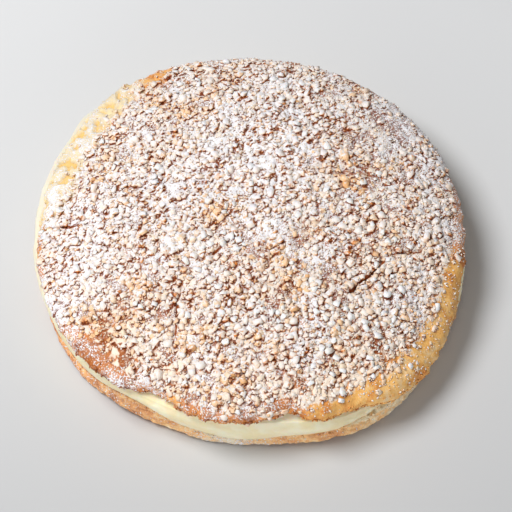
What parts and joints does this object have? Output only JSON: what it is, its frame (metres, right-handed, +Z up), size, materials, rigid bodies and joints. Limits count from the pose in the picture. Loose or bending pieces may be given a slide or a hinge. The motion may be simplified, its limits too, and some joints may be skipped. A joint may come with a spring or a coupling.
{
  "type": "tarte tropezienne",
  "caption": "Whole round brioche tart cut in two and filled with pastry cream, its domed lid covered in pearl sugar and dusted with icing sugar.",
  "frame": {"origin": "middle of the flat underside, on the surface that the tart rests on", "axes": "+Z up through the lid; the cream shows most on the -Y side"},
  "size_m": [0.233, 0.2308, 0.0534],
  "materials": {
    "brioche_side": "matte, golden brown bread crust",
    "pastry_cream": "smooth, softly glossy pale yellow cream",
    "sugared_crust": "matte brown crust under a veil of icing sugar",
    "pearl_sugar": "chalky grains, white to toasted"
  },
  "bodies": {
    "root": {"brioche_base": "brioche_side", "pastry_cream": "pastry_cream", "brioche_lid": "sugared_crust"}
  },
  "joints": []
}
